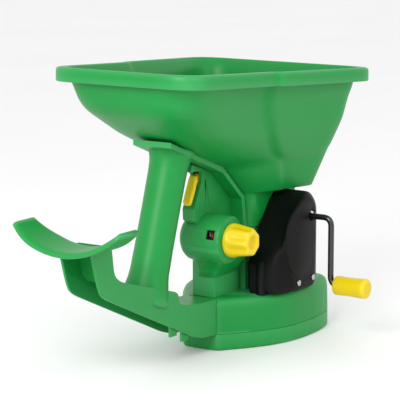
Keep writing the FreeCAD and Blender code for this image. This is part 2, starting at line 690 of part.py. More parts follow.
def case_face(inset="0"):
    """The flat outer face of the case."""
    return [("-31 + (%s)" % inset, "cover_height"),
            ("-50 + (%s)" % inset, "cover_height + 34 - (%s) * 0.3" % inset),
            ("-52 + (%s)" % inset, "case_top - 46"),
            ("-42 + (%s)" % inset, "case_top - 24 - (%s) * 0.3" % inset),
            ("-22 + (%s) * 0.5" % inset, "case_top - 9 - (%s)" % inset),
            ("-8", "case_top - 4 - (%s)" % inset),
            ("case_front - 8", "case_top - 6 - (%s)" % inset),
            ("case_front - (%s)" % inset, "case_top - 17 - (%s)" % inset),
            ("case_front - (%s)" % inset, "cover_height")]


def case_section(points, level):
    """A section of the case in an upright plane, at a distance out from the neck."""
    sketch = doc.addObject("Sketcher::SketchObject", "Section")
    draw(sketch, points)
    return place(sketch, 0, "-(%s)" % level, 0, turn=((1, 0, 0), 90))


def gear_cover():
    shoulder = "face_out - 9"
    outside = loft([case_section(case_outline(), "case_in"),
                    case_section(case_outline("1.5"), shoulder),
                    case_section(case_face(), "face_out")])
    inside = loft([case_section(case_outline("case_wall"), "case_in - 0.01"),
                   case_section(case_outline("case_wall + 1.5"), shoulder + " - 0.5"),
                   case_section(case_face("case_wall"), "face_out - case_wall")])
    pillar = rod(6, ("neck_rear", "-case_in - 12", "cover_height"), 34)
    foot = box(("neck_rear - 4", "neck_rear + 12"), ("-case_in - 12", "-case_in - 4"),
               ("cover_height", "cover_height + 30"), "Foot")
    bush = rod("rod_radius + 2", (0, "-case_in", "crank_height"), 60, "-y")
    lay = rod("shaft_radius + fit", (0, "-face_out + case_wall + 1", LAY_HEIGHT), 30, "y")
    screws = [rod(1.5, (x, "-case_in", z), 60, "-y") for x, z in case_screw_spots()]
    return finish(cut(joined(outside, pillar, foot), inside, bush, lay, *screws), "gear_cover")


def case_screw_spots():
    return [("-24", "cover_height + 8"), ("case_front - 6", "cover_height + 9")]


def case_screws():
    parts = []
    for x, z in case_screw_spots():
        parts.append(joined(rod(1.5, (x, "-case_in - 4", z), "face_out - case_in - 4", "-y"),
                            rod(3, (x, "-face_out", z), 1.2, "-y")))
    return finish(bundle(parts), "case_screws")


def gear_plate():
    plate = slab("XZ", case_outline("case_wall + 1"), "-case_in - 2.5", "-case_in", "Plate")
    crank = rod("rod_radius + 2", (0, 0, "crank_height"), 60, "-y")
    lay = rod("shaft_radius + 2", (0, 0, LAY_HEIGHT), 60, "-y")
    return finish(cut(plate, crank, lay), "gear_plate")


def bush(label, inner, outer, start, length, along):
    ring = cut(rod(outer, start, length, along), rod("(%s) + fit" % inner, start, length, along))
    return finish(ring, label)


# ---------------------------------------------------------------- crank, gears and impeller

def crank_rod():
    """One bent steel rod: shaft, arm and the pin that the grip turns on."""
    low = "crank_height - crank_arm"
    ball = []
    for z in ("crank_height", low):
        sphere = doc.addObject("Part::Sphere", "Corner")
        bind(sphere, "Radius", "rod_radius")
        ball.append(place(sphere, 0, "-arm_out", z))
    shaft = rod("rod_radius", (0, "-case_in", "crank_height"), "arm_out - case_in", "-y")
    arm = rod("rod_radius", (0, "-arm_out", low), "crank_arm")
    pin = rod("rod_radius", (0, "-arm_out", low), "grip_start - arm_out + grip_length - 2", "-y")
    return finish(joined(shaft, arm, pin, *ball), "crank_rod")


def crank_grip():
    low = "crank_height - crank_arm"
    barrel = rod("handgrip_radius", (0, "-grip_start", low), "grip_length", "-y")
    bore = rod("rod_radius + fit", (0, "-grip_start + 1", low), "grip_length", "-y")
    return finish(cut(barrel, bore), "crank_grip")


def crank_gear():
    spot = Vector(0, amount("gear_inset - face_out"), amount("crank_height"))
    return formed(spur_gear("crank_teeth", "rod_radius"), "crank_gear", Placement(spot, FACING_CRANK))


def lay_pinion():
    """Turned on its shaft so that a gap between two teeth points up at the crank gear."""
    spot = Vector(0, amount("gear_inset - face_out"), amount(LAY_HEIGHT))
    pitch = 360 / round(amount("lay_teeth"))
    turn = Rotation(Vector(0, 0, 1), (-90 - pitch / 2) % pitch)
    return formed(spur_gear("lay_teeth", "shaft_radius"), "lay_pinion",
                  Placement(spot, FACING_CRANK.multiply(turn)))


def face_gear():
    """A disc with teeth standing on its flat side, turned towards the impeller's axis."""
    teeth = round(amount("face_teeth"))
    module = amount("tooth_module")
    middle = teeth * module / 2
    root = -(amount("pinion_teeth") * module / 2 + 1.15 * module)
    disc = Part.makeCylinder(middle + 2.5, 4, Vector(0, 0, root - 4))
    flank = [Vector(middle - 1, -0.62 * module, root - 0.1), Vector(middle - 1, -0.26 * module, root + 1.75),
             Vector(middle - 1, 0.26 * module, root + 1.75), Vector(middle - 1, 0.62 * module, root - 0.1)]
    tooth = Part.Face(Part.makePolygon(flank + flank[:1])).extrude(Vector(3, 0, 0))
    ring = []
    for index in range(teeth):
        copy = tooth.copy()
        copy.rotate(Vector(), Vector(0, 0, 1), index * 360 / teeth)
        ring.append(copy)
    hole = Part.makeCylinder(amount("shaft_radius"), 30, Vector(0, 0, root - 10))
    shape = disc.multiFuse(ring).cut(hole)
    spot = Vector(0, 0, amount(LAY_HEIGHT))
    return formed(shape, "face_gear", Placement(spot, FACING_CRANK))


def layshaft():
    reach = "tooth_module * (pinion_teeth / 2 + 1.15)"
    start = (0, "-(%s)" % reach, LAY_HEIGHT)
    return finish(rod("shaft_radius", start, "face_out - case_wall - 2 - " + reach, "-y"), "layshaft")


def impeller_shaft():
    foot = "base_wall + play"
    return finish(rod("shaft_radius", (0, 0, foot), PINION_HEIGHT + " + 4.5 - " + foot), "impeller_shaft")


def impeller_pinion():
    shape = spur_gear("pinion_teeth", "shaft_radius")
    spot = Vector(0, 0, amount(PINION_HEIGHT) - amount("gear_width") / 2)
    return formed(shape, "impeller_pinion", Placement(spot, Rotation(Vector(0, 0, 1), 15)))


def impeller():
    disc = rod("impeller_radius", (0, 0, "impeller_floor"), "impeller_wall")
    hub = rod("shaft_radius + 5", (0, 0, "impeller_floor"), "vane_height + impeller_wall + 2")
    vanes = []
    for index in range(5):
        vane = box((4, "impeller_radius - 1"), (-1, 1),
                   ("0", "vane_height"), "Vane")
        turn = doc.addObject("Part::Compound", "Vane")
        turn.Links = [vane]
        place(turn, 0, 0, "impeller_floor + impeller_wall", turn=((0, 0, 1), str(index * 72)))
        vanes.append(turn)
    bore = rod("shaft_radius", (0, 0, 0), 100)
    return finish(cut(joined(disc, hub, *vanes), bore), "impeller")


def build():
    for make in (hopper, base_cover, base_tray, tray_screws, rail, rail_ribs, rail_clips, arm_cradle,
                 saddle, handle, trigger_web, column, chute, shutter_guides, dial_barrel,
                 scale_window, dial_knob, dial_shaft, scale_ring, cam, trigger, trigger_pin,
                 trigger_spring, shutter, shutter_link, gear_cover, case_screws, gear_plate,
                 crank_rod, crank_grip, crank_gear, lay_pinion, face_gear, layshaft,
                 impeller_shaft, impeller_pinion, impeller):
        make()
    bush("crank_bush", "rod_radius", "rod_radius + 2", (0, "-face_out + case_wall", "crank_height"),
         "case_wall + 1", "-y")
    bush("crank_end_bush", "rod_radius", "rod_radius + 2", (0, "-case_in", "crank_height"), 3, "-y")
    bush("layshaft_bush", "shaft_radius", "shaft_radius + 2", (0, "-case_in + 2", LAY_HEIGHT), 5, "-y")
    bush("upper_bush", "shaft_radius", "shaft_radius + 3", (0, 0, "cover_height - base_wall"), 10, "z")
    bush("lower_bush", "shaft_radius", "shaft_radius + 3", (0, 0, "base_wall"), 7, "z")


build()
doc.recompute()
faults = [thing.Label for thing in doc.Objects
          if any(word in str(thing.State) for word in ("Invalid", "Error"))]
if faults:
    raise RuntimeError("failed objects: " + ", ".join(faults))
os.makedirs("parts", exist_ok=True)
for thing in finished:
    shape = thing.Shape
    if shape.isNull() or not shape.isValid() or not shape.Solids:
        raise RuntimeError("no valid solid: " + thing.Label)
for thing in finished:
    thing.Shape.exportStep("parts/%s.step" % thing.Label)
print(len(finished), "parts written")
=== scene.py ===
import math

import bmesh
import bpy
from mathutils import Matrix, Vector


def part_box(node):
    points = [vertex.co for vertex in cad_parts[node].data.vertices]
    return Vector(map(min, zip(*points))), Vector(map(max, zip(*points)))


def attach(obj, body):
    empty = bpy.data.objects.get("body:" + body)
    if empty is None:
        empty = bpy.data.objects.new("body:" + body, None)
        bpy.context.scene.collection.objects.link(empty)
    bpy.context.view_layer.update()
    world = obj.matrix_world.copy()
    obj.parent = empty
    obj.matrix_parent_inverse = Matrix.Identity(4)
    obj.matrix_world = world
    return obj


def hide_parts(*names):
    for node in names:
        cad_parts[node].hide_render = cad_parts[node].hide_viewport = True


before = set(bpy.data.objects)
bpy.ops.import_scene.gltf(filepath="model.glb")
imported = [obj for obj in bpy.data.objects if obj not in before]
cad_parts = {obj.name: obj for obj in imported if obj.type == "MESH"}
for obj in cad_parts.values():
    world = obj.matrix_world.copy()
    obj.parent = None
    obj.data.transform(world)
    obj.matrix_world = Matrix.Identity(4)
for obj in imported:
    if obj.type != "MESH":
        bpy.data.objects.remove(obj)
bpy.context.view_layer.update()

MM = 0.001

# ------------------------------------------------------------------ hopper
# One thin moulding of satin green polypropylene, open above and with a slot in its floor.  It is
# a long box with round corners that steps out towards the front and folds in to a small throat.
# A hanging lip runs round its mouth and stiffens it.


class Wire:
    """One value or colour inside a finish.  Sums and products written on it become Math nodes."""

    def __init__(self, finish, socket):
        self.finish = finish
        self.socket = socket

    def sum(self, operation, first, second):
        return self.finish.node("ShaderNodeMath", {"operation": operation}, first, second)

    def __add__(self, other):
        return self.sum("ADD", self, other)

    __radd__ = __add__

    def __mul__(self, other):
        return self.sum("MULTIPLY", self, other)

    __rmul__ = __mul__


class Finish:
    """A material on one Principled shader."""

    def __init__(self, name, **steady):
        self.material = bpy.data.materials.new(name)
        self.material.use_nodes = True
        self.nodes = self.material.node_tree.nodes
        self.shader = self.nodes["Principled BSDF"]
        self.set(**steady)

    def feed(self, socket, value):
        if isinstance(value, Wire):
            self.material.node_tree.links.new(value.socket, socket)
        else:
            socket.default_value = value

    def set(self, **inputs):
        for name, value in inputs.items():
            self.feed(self.shader.inputs[name.replace("_", " ")], value)

    def node(self, kind, settings, *inputs, output=0, **named):
        made = self.nodes.new(kind)
        stops = settings.pop("stops", ())
        for name, value in settings.items():
            setattr(made, name, value)
        for index, (place, shade) in enumerate(stops):
            ramp = made.color_ramp.elements
            stop = ramp[index] if index < 2 else ramp.new(place)
            stop.position = place
            stop.color = (shade, shade, shade, 1)
        for index, value in enumerate(inputs):
            self.feed(made.inputs[index], value)
        for name, value in named.items():
            self.feed(made.inputs[name.replace("_", " ")], value)
        return Wire(self, made.outputs[output])

    def noise(self, scale, detail=2, stretch=(1, 1, 1)):
        """Soft patches or grain, by how fine the scale is."""
        place = self.node("ShaderNodeTexCoord", {}, output="Object")
        place = self.node("ShaderNodeMapping", {}, Vector=place, Scale=stretch)
        return self.node("ShaderNodeTexNoise", {}, Vector=place, Scale=scale, Detail=detail)

    def step(self, value, low, high):
        """0 below low, 1 above high."""
        return self.node("ShaderNodeValToRGB", {"stops": ((low, 0), (high, 1))}, value)

    def mix(self, share, first, second):
        made = self.nodes.new("ShaderNodeMix")
        made.data_type = "RGBA"
        self.feed(made.inputs[0], share)
        self.feed(made.inputs[6], first)
        self.feed(made.inputs[7], second)
        return Wire(self, made.outputs[2])


def rgb(red, green, blue):
    """A colour as it looks on a screen, 0 to 255, turned into the shader's linear scale."""
    return tuple(((part / 255 + 0.055) / 1.055) ** 2.4 for part in (red, green, blue)) + (1,)


def moulded(name, color, pale, roughness, grain=0.12, coat=0.0, gloss=0.34):
    """Injection-moulded plastic: flow marks, fine grain, faint rubs and a painted highlight along its sharp
    edges.
    """
    finish = Finish(name, IOR=1.45, Specular_IOR_Level=gloss, Coat_Weight=coat,
                    Coat_Roughness=0.25)
    flow = finish.noise(9, 3, (1, 1, 2.2))
    fine = finish.noise(1400, 2)
    rubs = finish.step(finish.noise(60, 5, (1, 1, 6)), 0.58, 0.72)
    # sharp convex edges are mixed towards the pale colour, which is a painted highlight; the rubs add a
    # faint real paleness
    bend = finish.node("ShaderNodeNewGeometry", {}, output="Pointiness")
    edge_highlight_and_rubs = finish.step(bend, 0.515, 0.56) * 0.35 + rubs * 0.05
    dark = tuple(0.9 * part for part in color[:3]) + (1,)
    tint = finish.mix(finish.step(flow, 0.3, 0.7), dark, color)
    finish.set(Base_Color=finish.mix(edge_highlight_and_rubs, tint, pale),
               Roughness=roughness + flow * 0.08 + rubs * 0.07)
    height = fine * grain + flow * 0.9
    finish.set(Normal=finish.node("ShaderNodeBump", {}, Strength=0.25, Distance=0.0006, Height=height))
    return finish.material


GREEN = moulded("green_polypropylene", rgb(12, 137, 56), rgb(84, 176, 114), 0.38, coat=0.04)


def rounded(points, cuts, arc=5, run=4):
    """A closed outline with its corners turned into arcs, always with the same number of points."""
    count = len(points)
    spots = [Vector(point) for point in points]
    if not isinstance(cuts, (list, tuple)):
        cuts = [cuts] * count
    ends = []
    for index, spot in enumerate(spots):
        before = spots[index - 1] - spot
        after = spots[(index + 1) % count] - spot
        first = spot + before * min(cuts[index] / before.length, 0.49)
        last = spot + after * min(cuts[index] / after.length, 0.49)
        ends.append((first, spot, last))
    result = []
    for index, (first, spot, last) in enumerate(ends):
        for step in range(arc + 1):
            t = step / arc
            result.append(first * (1 - t) ** 2 + spot * 2 * t * (1 - t) + last * t ** 2)
        target = ends[(index + 1) % count][0]
        result.extend(last.lerp(target, (step + 1) / (run + 1)) for step in range(run))
    return result


def skin(name, rings, loop=False):
    """A mesh over rings of points in millimetres, each ring with as many points as the next.

    Both ends are closed; with loop, the last ring joins the first instead."""
    form = bmesh.new()
    rows = [[form.verts.new(Vector(point) * MM) for point in ring] for ring in rings]
    pairs = list(zip(rows, rows[1:])) + ([(rows[-1], rows[0])] if loop else [])
    count = len(rows[0])
    for low, high in pairs:
        for index in range(count):
            after = (index + 1) % count
            form.faces.new((low[index], low[after], high[after], high[index]))
    if not loop:
        form.faces.new(list(reversed(rows[0])))
        form.faces.new(rows[-1])
    bmesh.ops.remove_doubles(form, verts=form.verts, dist=0.00001)
    bmesh.ops.dissolve_degenerate(form, edges=form.edges, dist=0.00001)
    bmesh.ops.recalc_face_normals(form, faces=form.faces)
    mesh = bpy.data.meshes.new(name)
    form.to_mesh(mesh)
    form.free()
    piece = bpy.data.objects.new(name, mesh)
    bpy.context.collection.objects.link(piece)
    mesh.shade_smooth()
    return piece


SHARP_ANGLE = 32


def soften(piece, width, segments=3):
    """Rounds the piece's sharp edges."""
    bevel = piece.modifiers.new("soft_edges", "BEVEL")
    bevel.width = width * MM
    bevel.segments = segments
    bevel.limit_method = "ANGLE"
    bevel.angle_limit = math.radians(SHARP_ANGLE)
    bevel.harden_normals = True
    return piece


def settle(piece, body, material, *nodes):
    """Gives the piece its finish and fixes it to a body, in place of the named nodes."""
    piece.data.materials.clear()
    piece.data.materials.append(material)
    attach(piece, body)
    if nodes:
        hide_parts(*nodes)
    return piece


LIP_DEPTH = 13
WALL = 2.6
THROAT = 118
RIM = 285
# the rim rises towards the rear: its slope in degrees, the height it starts at, the x it turns about
RIM_TILT = 3.2
TILT_START = 250
TILT_PIVOT = -91
# below the ledge the near side is cut back to a flat wall, which leaves room for the gear case
LEDGE = 154.5
CASE_SIDE = -28.6
# height, rear, front, half width at the rear and at the front, step in the long sides, corner
HOPPER_LEVELS = (
    (118, -51, 26, 25, 26, 0, 18), (152, -57, 34, 27, 57, 0, 21), (187, -97, 37, 32, 73, 0, 24),
    (197, -128, 40, 40, 79, 6, 32), (225, -189, 46, 55, 89, 6, 40), (249, -227, 51, 64, 93, 6, 42),
    (257, -235, 53, 68, 95, 6, 40), (272, -238, 55, 73, 97, 6, 36), (285, -241, 59, 78, 103, 6, 30))


def hopper_level(height):
    """The hopper's sizes at one height, with the creases eased over a few millimetres."""
    total = [0.0] * 6
    spread = (-4, -2, 0, 2, 4)
    for offset in spread:
        level = min(max(height + offset, HOPPER_LEVELS[0][0]), HOPPER_LEVELS[-1][0])
        for low, high in zip(HOPPER_LEVELS, HOPPER_LEVELS[1:]):
            if low[0] <= level <= high[0]:
                share = (level - low[0]) / (high[0] - low[0])
                for index in range(6):
                    total[index] += low[index + 1] + share * (high[index + 1] - low[index + 1])
                break
    return [value / len(spread) for value in total]


def hopper_ring(height, grow=0, drop=0.0, side=CASE_SIDE, ledge=LEDGE):
    """The hopper's outline at a height, grown outwards and dropped by the given distances."""
    rear, front, rear_half, front_half, step, corner = hopper_level(height)
    rear, front, rear_half, front_half = rear - grow, front + grow, rear_half + grow, front_half + grow
    middle = rear * 0.547 + front * 0.453
    flare = (front_half - rear_half) * 0.5
    half = [(rear, -rear_half), (middle - 4, -(rear_half + flare - step)),
            (middle + 4, -(rear_half + flare)), (front, -front_half)]
    points = half + [(x, -y) for x, y in reversed(half)]
    near = min(corner, 30)
    cuts = [corner, 6, 6, near, near, 6, 6, corner]
    tilt = math.tan(math.radians(RIM_TILT)) * min(max((height - TILT_START) / (RIM - TILT_START), 0), 1)
    ring = []
    for x, y in rounded(points, cuts, 8, 6):
        z = height - drop - (x - TILT_PIVOT) * tilt
        ring.append((x, max(y, side) if height < ledge else y, z))
    return ring


def outlet_ring(height):
    """The slot in the floor that the granules leave by."""
    ring = hopper_ring(THROAT + 1, -WALL)
    return [(min(max(x, -45), -37), min(max(y, -15), 15), height) for x, y, z in ring]


outer_heights = list(range(THROAT, 155, 2)) + [LEDGE - 0.1, LEDGE + 0.1] + list(range(156, 283, 2))
inner_ledge = LEDGE + WALL
inner_heights = ([THROAT + WALL + step * 2 for step in range(18)] + [inner_ledge - 0.1, inner_ledge + 0.1]
                 + list(range(158, 283, 2)))
rings = [hopper_ring(height) for height in outer_heights]
# the lip's section: how far out and how far below the rim
LIP = ((0, WALL), (3.6, WALL), (3.7, LIP_DEPTH), (4.2, LIP_DEPTH + 0.6), (5.4, LIP_DEPTH + 0.6),
       (5.9, LIP_DEPTH), (5.9, 6), (5.8, 2.4), (5.2, 0.9), (4.2, 0.2), (2, 0), (-1, 0),
       (-2.1, 0.5), (-WALL, 2))
rings += [hopper_ring(RIM, grow, drop) for grow, drop in LIP]
inside = [hopper_ring(height, -WALL, 0, CASE_SIDE + WALL, inner_ledge) for height in inner_heights]
rings += reversed(inside)
rings += [outlet_ring(THROAT + WALL), outlet_ring(THROAT)]
hopper = skin("hopper_shell", rings, loop=True)
settle(hopper, "frame", GREEN, "hopper")

# ------------------------------------------------------------------ base housing
# Two green mouldings, a tray and a cover, screwed together from below.  They close round the
# impeller and leave a wide mouth at the front for the granules.  A fine seam shows between them.


def base_ring(height, inset=0.0):
    """The base's outline at a height, moved inwards by a distance."""
    half = [(-105, -20), (-71, -46), (-39, -61), (-9, -65), (32, -64), (66, -54), (73, -26.5)]
    points = half + [(x, -y) for x, y in reversed(half)]
    centre = Vector((-10, 0))
    cuts = [5, 22, 30, 30, 34, 16, 30, 30, 16, 34, 30, 30, 22, 5]
    outline = rounded([Vector(point) for point in points], cuts, 5, 2)
    count = len(outline)
    ring = []
    for index, spot in enumerate(outline):
        along = outline[(index + 1) % count] - outline[index - 1]
        inwards = Vector((-along.y, along.x)).normalized()
        if inwards.dot(centre - spot) < 0:
            inwards.negate()
        moved = spot + inwards * inset
        ring.append((moved.x, moved.y, height))
    return ring


def carve(piece, *tools):
    """Cuts the tools out of the piece and drops them."""
    for tool in tools:
        difference = piece.modifiers.new("carve", "BOOLEAN")
        difference.operation = "DIFFERENCE"
        difference.solver = "MANIFOLD"
        difference.object = tool
    graph = bpy.context.evaluated_depsgraph_get()
    mesh = bpy.data.meshes.new_from_object(piece.evaluated_get(graph))
    piece.modifiers.clear()
    piece.data = mesh
    for tool in tools:
        bpy.data.objects.remove(tool)
    return piece


def block(name, x, y, z):
    """A plain block between pairs of levels."""
    outline = [(x[0], y[0]), (x[1], y[0]), (x[1], y[1]), (x[0], y[1])]
    return skin(name, [[(u, v, level) for u, v in outline] for level in z])


def base_mouth():
    """The tool that opens the front of both base mouldings."""
    points = [(-50, 8), (50, 8), (50, 44), (-50, 44)]
    outline = rounded([Vector(point) for point in points], 6, 4, 0)
    return skin("mouth_tool", [[(x, y, z) for y, z in outline] for x in (48, 100)])


def circle(radius, count=32):
    """Points round a circle about the impeller's axis."""
    turns = [index * 2 * math.pi / count for index in range(count)]
    return [(radius * math.cos(turn), radius * math.sin(turn)) for turn in turns]


BEARING_RADIUS = 6
# height, inset
TRAY_SLICES = ((0, 2.2), (0.5, 1.0), (1.6, 0.3), (3, 0), (15.8, 0), (16.7, 0.5))
COVER_SLICES = ((16.9, 0.7), (17.6, 0.15), (19, 0), (42, 0.6), (47, 1.2), (50.2, 2.6),
                (52.2, 5.2), (53, 9))
tray = skin("base_tray_shell", [base_ring(*sizes) for sizes in TRAY_SLICES])
tray_inside = skin("tray_tool", [base_ring(2.5, 2.5), base_ring(20, 2.5)])
carve(tray, tray_inside, base_mouth())
settle(soften(tray, 0.5), "frame", GREEN, "base_tray")

cover = skin("base_cover_shell", [base_ring(*sizes) for sizes in COVER_SLICES])
cover_inside = skin("cover_tool", [base_ring(14, 2.5), base_ring(44, 3.2), base_ring(50, 7)])
chute_tool = block("chute_tool", (-48, -34), (-18, 18), (40, 60))
bearing_tool = skin("bearing_tool", [[(x, y, z) for x, y in circle(BEARING_RADIUS)] for z in (40, 60)])
carve(cover, cover_inside, base_mouth(), chute_tool, bearing_tool)
settle(soften(cover, 0.5), "frame", GREEN, "base_cover")

# ------------------------------------------------------------------ rail and stem
# A channel of green plastic, open below and behind, that runs back from the base and rises as
# a stem to the cradle.  Its side plates are one piece with the strip that joins them.


def prism(name, outline, half, cut=()):
    """An outline of (x, z) points pulled out evenly to both sides."""
    points = [Vector(point) for point in outline]
    if cut:
        points = rounded(points, cut, 6, 0)
    return skin(name, [[(x, y, z) for x, z in points] for y in (-half, half)])


RAIL_OUTSIDE = ((-315, 137), (-303, 98), (-296, 90), (-137, 19), (-105, 17), (-105, 53), (-150, 56),
                (-172, 61), (-172, 73), (-256, 97), (-271, 102), (-279, 109), (-281, 121), (-283, 137))
RAIL_CUTS = (0.5, 14, 14, 20, 0.5, 0.5, 12, 7, 9, 20, 9, 9, 9, 0.5)
RAIL_INSIDE = ((-325, 140), (-285.6, 140), (-283.6, 120), (-281.6, 107), (-273.6, 99), (-256, 94.1),
               (-174.6, 70.1), (-174.6, 58.4), (-150, 53.4), (-107.6, 50.4), (-107.6, -5), (-325, -5))
rail = prism("rail_channel", RAIL_OUTSIDE, 19, RAIL_CUTS)
rail_tool = prism("rail_tool", RAIL_INSIDE, 16.4)
carve(rail, rail_tool)
settle(soften(rail, 0.9), "frame", GREEN, "rail")

# ------------------------------------------------------------------ forearm cradle
# A shallow curved strip on the stem's top that the forearm rests in.  It narrows to its tips, and
# a low bead runs along its front and rear edges.

CRADLE_STEPS = 40
CRADLE_RADIUS = 87
cradle_low, cradle_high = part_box("arm_cradle")
CRADLE_HALF = cradle_high[1] / MM
CRADLE_REAR = cradle_low[0] / MM
CRADLE_LENGTH = 45
CRADLE_FLOOR = 138


def cradle_ring(share):
    """One slice across the cradle's strip, at a share of the way from one tip to the other."""
    side = share * 2 - 1
    y = (CRADLE_HALF - 0.6) * side
    taper = max(0, abs(side) - 0.55) / 0.45
    rear = CRADLE_REAR + 0.3 + 7 * taper ** 2
    length = CRADLE_LENGTH - 14 * taper ** 1.5
    arc = math.asin(y / CRADLE_RADIUS)
    floor = CRADLE_FLOOR + CRADLE_RADIUS * (1 - math.cos(arc))
    thick = 5.8 - 1.2 * abs(side) ** 3
    up = Vector((0, -math.sin(arc), math.cos(arc)))
    ring = []
    for step in range(40):
        angle = step * math.pi / 20
        u = math.cos(angle)
        v = math.sin(angle)
        along = length / 2 * math.copysign(abs(u) ** 0.3, u)
        edge = max(0, abs(along) / (length / 2) - 0.82) / 0.18
        rise = thick / 2 * math.copysign(abs(v) ** 0.6, v) - thick / 2
        # the edges turn down a little, more below than above, which makes the bead
        rise -= (0.9 if v < 0 else 0.5) * edge
        spot = Vector((rear + length / 2 + along, y, floor)) + up * rise
        ring.append(tuple(spot))
    return ring


cradle = skin("forearm_cradle", [cradle_ring(step / CRADLE_STEPS) for step in range(CRADLE_STEPS + 1)])
settle(cradle, "frame", GREEN, "arm_cradle")

# ------------------------------------------------------------------ handle
# A round green grip that leans forward between the rail and the saddle under the hopper.  It
# flares at both ends where it runs into them.

HANDLE_FOOT = Vector((-200, 0, 80))
HANDLE_TOP = Vector((-158, 0, 204))


def handle_ring(share, radius):
    """A circle across the handle's leaning axis."""
    lean = (HANDLE_TOP - HANDLE_FOOT).normalized()
    across = Vector((lean.z, 0, -lean.x))
    centre = HANDLE_FOOT.lerp(HANDLE_TOP, share)
    ring = []
    for step in range(48):
        angle = step * math.pi / 24
        spot = centre + across * math.cos(angle) * radius + Vector((0, math.sin(angle) * radius, 0))
        ring.append(tuple(spot))
    return ring


# share of the way up, radius
HANDLE_PROFILE = ((-0.12, 23), (-0.06, 22.4), (-0.01, 21.8), (0.03, 20.9), (0.07, 19.9), (0.12, 19.2),
                  (0.3, 18.8), (0.6, 18.7), (0.85, 18.9), (0.93, 19.3), (0.97, 20.2), (1.0, 21.6),
                  (1.02, 23), (1.05, 24.0))
handle = skin("handle_grip", [handle_ring(share, radius) for share, radius in HANDLE_PROFILE])
settle(handle, "frame", GREEN, "handle")

# ------------------------------------------------------------------ rate dial
# A drum lying across the body holds the scale.  A fluted yellow knob on its near end turns the
# scale past a small window.


def lathe(name, profile, centre, along, steps=48):
    """A profile of (distance, radius) pairs turned about an axis through centre."""
    along = Vector(along)
    first = along.orthogonal().normalized()
    second = along.cross(first)
    rings = []
    for distance, radius in profile:
        ring = []
        for step in range(steps):
            angle = step * 2 * math.pi / steps
            reach = (first * math.cos(angle) + second * math.sin(angle)) * radius
            ring.append(tuple(Vector(centre) + along * distance + reach))
        rings.append(ring)
    return skin(name, rings)


barrel_low, barrel_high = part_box("dial_barrel")
barrel_centre = ((barrel_low[0] + barrel_high[0]) / 2 / MM, 0,
                 (barrel_low[2] + barrel_high[2]) / 2 / MM)
# distance along the axis, radius
DRUM_PROFILE = ((-34, 22.6), (-33.6, 23.4), (-32.6, 24), (6, 24), (9, 23.4), (12, 21.4),
                (14.5, 18.4), (16.4, 14), (17, 8))
barrel = lathe("dial_drum", DRUM_PROFILE, barrel_centre, (0, 1, 0), 72)
drum_tool = lathe("drum_tool", ((-31.4, 21.4), (7, 21.4)), barrel_centre, (0, 1, 0), 48)
shaft_tool = lathe("shaft_tool", ((-40, 4.1), (-20, 4.1)), barrel_centre, (0, 1, 0), 32)
window_tool = block("window_tool", (-135, -114), (-29, -20), (118, 127))
carve(barrel, drum_tool, shaft_tool, window_tool)
settle(soften(barrel, 0.4), "frame", GREEN, "dial_barrel")


def neck_ring(height, rear, near):
    """The neck that carries the drum, drawn in from the drum's width to the column's."""
    column_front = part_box("body_column")[1][0] / MM - 1
    outline = rounded([(rear, -near), (column_front, -near), (column_front, 7), (rear, 7)], 5, 4, 1)
    return [(x, y, height) for x, y in outline]


# height, rear, half width on the near side
NECK_SLICES = ((104, -121.5, 31.5), (99, -118, 31), (94, -112.5, 28), (87, -105.5, 22),
               (80, -102, 17), (74, -101, 14.2))
# the neck is hollowed to this radius, so that the scale turns freely
DRUM_ROOM = 22.6
neck = skin("drum_neck", [neck_ring(*sizes) for sizes in NECK_SLICES])
carve(neck, lathe("drum_room", ((-40, DRUM_ROOM), (20, DRUM_ROOM)), barrel_centre, (0, 1, 0), 72))
settle(neck, "frame", GREEN)

YELLOW = moulded("yellow_polypropylene", rgb(226, 196, 0), rgb(242, 222, 70), 0.36, coat=0.03)
KNOB_HOLLOWS = 7
KNOB_BASE = -34.4


def knob_ring(out, radius, depth):
    """The knob's outline at a distance from the drum, with finger hollows of the given depth."""
    ring = []
    for step in range(96):
        angle = step * math.pi / 48
        wave = (0.5 + 0.5 * math.cos(KNOB_HOLLOWS * angle)) ** 0.9
        reach = radius - depth * wave
        ring.append((barrel_centre[0] + reach * math.cos(angle), KNOB_BASE - out,
                     barrel_centre[2] + reach * math.sin(angle)))
    return ring


# distance out, radius, depth of the hollows
KNOB = ((0, 16.2, 0), (0.6, 17, 0), (4.5, 17, 0), (6.2, 16.8, 1.3), (8, 16.5, 2.0), (22, 14.4, 2.1),
        (24.4, 13.6, 1.7), (25.6, 12.4, 0.9), (26, 11, 0.3), (26, 7.6, 0), (25.6, 7, 0),
        (22.5, 5.4, 0), (22.2, 4, 0))
knob = skin("rate_knob", [knob_ring(*level) for level in KNOB])
settle(knob, "dial", YELLOW, "dial_knob")

SCALE = Finish("scale_print", Roughness=0.45)
print_spot = SCALE.node("ShaderNodeTexCoord", {}, output="Object")
across = SCALE.node("ShaderNodeSeparateXYZ", {}, print_spot, output="Y")
# the ring is red from here towards the knob, and dark under the numbers
RED_FROM = 21.8
RED_FULL = 22
RAMP_REACH = 25
red = SCALE.step(across * (-1 / (RAMP_REACH * MM)), RED_FROM / RAMP_REACH, RED_FULL / RAMP_REACH)
SCALE.set(Base_Color=SCALE.mix(red, rgb(22, 18, 17), rgb(190, 34, 20)),
          Roughness=0.35 + SCALE.noise(500) * 0.2)
WHITE = moulded("white_print", rgb(238, 238, 232), rgb(255, 255, 255), 0.5)

